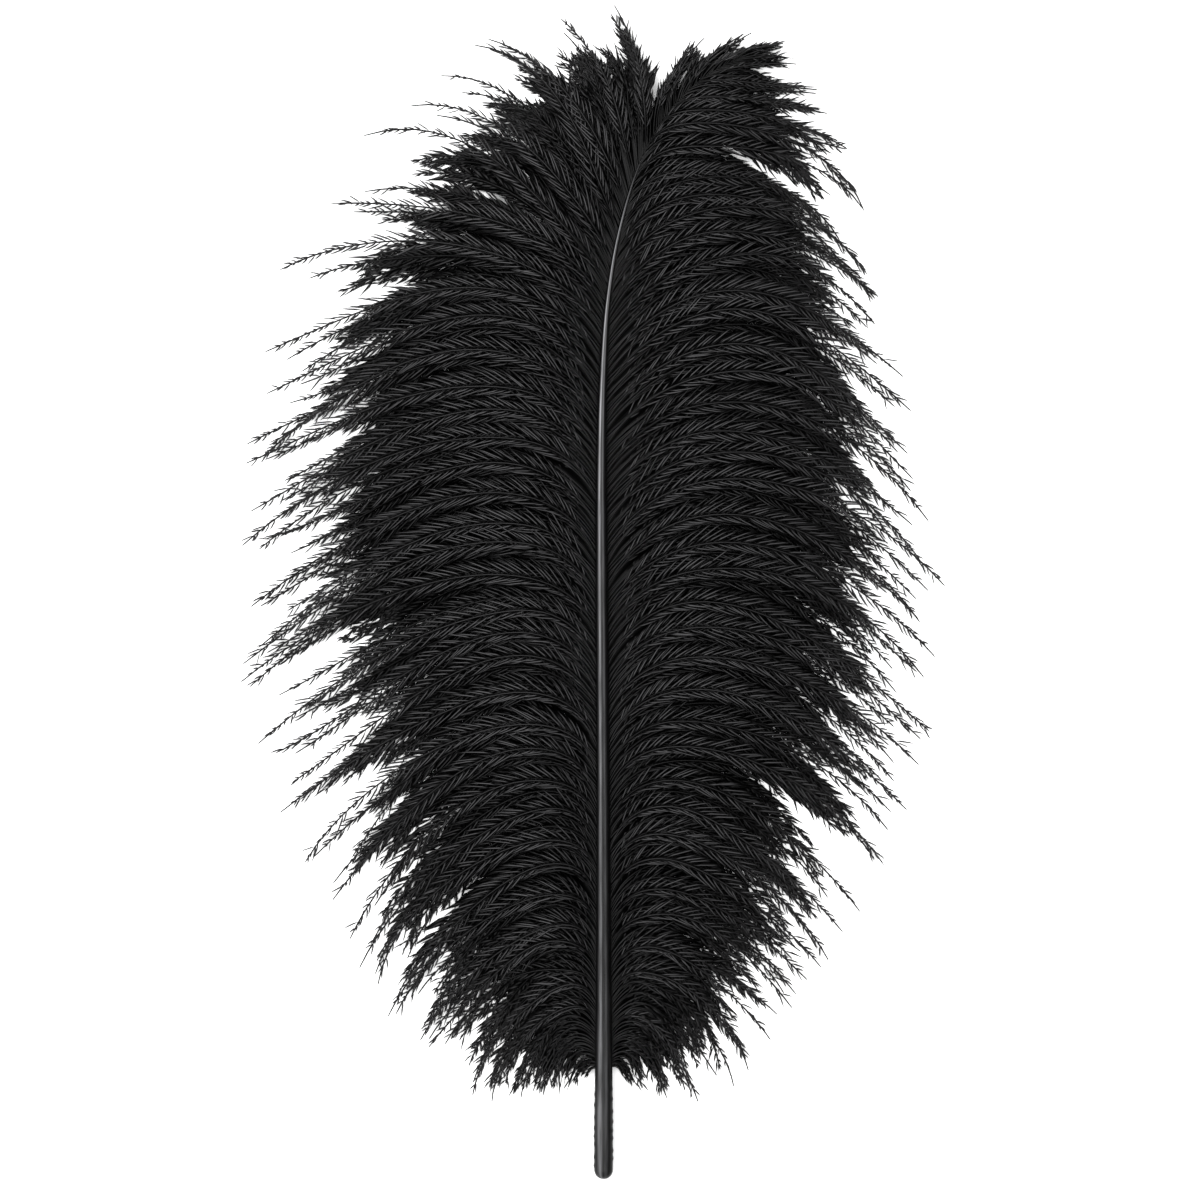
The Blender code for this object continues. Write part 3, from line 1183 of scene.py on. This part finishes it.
            low = middle - up * (thick / 3)[:, None]
            points += [low - edge, low + edge, middle + up * (thick * 2 / 3)[:, None]]
        points.append(tip)
        # Painted highlight on each ring's ridge point, painted shade at its edges, half-lit at the tip.
        painted_highlight = np.array((0.05, *(0.0, 0.0, 1.0) * len(sizes.rings), 0.5))
        # Painted shade by layer, with random tone for each barb and barbule.
        tone = barbs.layer_shade_at(index, t) + barbs.tone[index] + rng.normal(0, 0.12, count)
        self.put_blades(np.stack(points, axis=1), tone, painted_highlight, len(sizes.rings), strands)

    def build(self, to_frame: Vector, finish: bpy.types.Material) -> list[bpy.types.Object]:
        """Makes the vane in place of its CAD node.

        Args:
            to_frame: where the foot of the quill is, in metres.
            finish: the barbs' material.

        Returns:
            The vane's pieces, from the foot to the tip.
        """
        barbs = self.barbs()
        side = self.side.name.lower()
        rng = np.random.default_rng(self.seed + 1)
        made = []
        cuts = np.array_split(np.arange(len(barbs.lift)), self.pieces)
        for number, chosen in enumerate(cuts):
            strands = Strands()
            some = barbs.part(chosen)
            self.lay_down(some, strands)
            self.lay_tubes(some, strands)
            for layer in Layer:
                members = np.flatnonzero(some.layer == layer.value)
                if len(members):
                    self.lay_barbules(some.part(members), strands, rng)
            name = f"barbs_{side}_{number + 1}"
            piece = bpy.data.objects.new(name, strands.mesh(name, to_frame))
            bpy.context.scene.collection.objects.link(piece)
            piece.data.materials.append(finish)
            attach(piece, "root")
            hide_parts(f"vane_{side}")
            made.append(piece)
        return made


@dataclass
class Studio:
    """A pale floor, soft light and a camera that looks straight down."""

    floor_size: float = 6.0
    camera_height: float = 3.0
    view_width: float = 0.5172
    look_right: float = 0.0048
    look_up: float = -0.0013
    sensor: float = 36.0
    sky: float = 0.6
    lamps: tuple = (
        ("overhead", (-0.1, 0.2, 4.0), (4.4, 4.4), 275.0),
        ("key", (-1.0, 1.5, 1.6), (1.1, 0.9), 52.0),
        ("strip", (-1.7, 0.15, 1.55), (1.8, 0.4), 16.0),
    )

    def build(self) -> None:
        """Makes the floor, the lights and the camera."""
        self.floor()
        self.lights()
        self.camera()

    def floor(self) -> None:
        """Lays the floor at the height that the feather lies on."""
        half = self.floor_size / 2
        mesh = bpy.data.meshes.new("floor")
        corners = [(-half, -half, 0), (half, -half, 0), (half, half, 0), (-half, half, 0)]
        mesh.from_pydata(corners, [], [(0, 1, 2, 3)])
        floor = bpy.data.objects.new("floor", mesh)
        bpy.context.scene.collection.objects.link(floor)
        mesh.materials.append(FloorFinish().material())

    def lights(self) -> None:
        """Sets a soft sky and the lamps: a broad one overhead, the key and a strip."""
        world = bpy.data.worlds.new("studio")
        world.use_nodes = True
        background = world.node_tree.nodes["Background"]
        background.inputs["Color"].default_value = (1, 1, 1, 1)
        background.inputs["Strength"].default_value = self.sky
        bpy.context.scene.world = world
        for name, place, size, energy in self.lamps:
            light = bpy.data.lights.new(name, "AREA")
            light.shape, light.energy = "RECTANGLE", energy
            light.size, light.size_y = size
            lamp = bpy.data.objects.new(name, light)
            lamp.location = place
            lamp.rotation_euler = (-Vector(place)).to_track_quat("-Z", "Y").to_euler()
            bpy.context.scene.collection.objects.link(lamp)

    def camera(self) -> None:
        """Hangs the camera over the feather."""
        data = bpy.data.cameras.new("camera")
        data.sensor_width = self.sensor
        data.lens = self.sensor * self.camera_height / self.view_width
        data.clip_end = 20
        camera = bpy.data.objects.new("camera", data)
        camera.location = (self.look_right, self.look_up, self.camera_height)
        bpy.context.scene.collection.objects.link(camera)
        bpy.context.scene.camera = camera
        bpy.context.scene.view_settings.view_transform = "Standard"


def triangles_in(piece: bpy.types.Object) -> int:
    """Number of triangles in a piece."""
    return sum(len(polygon.vertices) - 2 for polygon in piece.data.polygons)


def main() -> None:
    """Builds the feather in its frame and reports each piece."""
    logging.basicConfig(level=logging.INFO, format="%(message)s")
    low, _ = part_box("shaft")
    shaft = Shaft()
    to_frame = Vector((low.x + shaft.foot * MM, low.y, 0))
    pieces = [shaft.build(to_frame)]
    black = BarbFinish().material()
    vanes = (
        Vane(Side.LEFT, LEFT_GUIDES, LEFT_TUFTS, shaft, 11, (1.2, 1.2), 452, thinning=0.86, parting=0.34),
        Vane(Side.RIGHT, RIGHT_GUIDES, RIGHT_TUFTS, shaft, 23, (1.2, 0.5), 432, thinning=0.7, parting=0.08),
    )
    for vane in vanes:
        pieces += vane.build(to_frame, black)
    Studio().build()
    total = 0
    for piece in pieces:
        count = triangles_in(piece)
        total += count
        LOG.info("%s: %d triangles", piece.name, count)
    LOG.info("all pieces: %d triangles", total)
    bpy.context.view_layer.update()


if __name__ == "__main__":
    main()
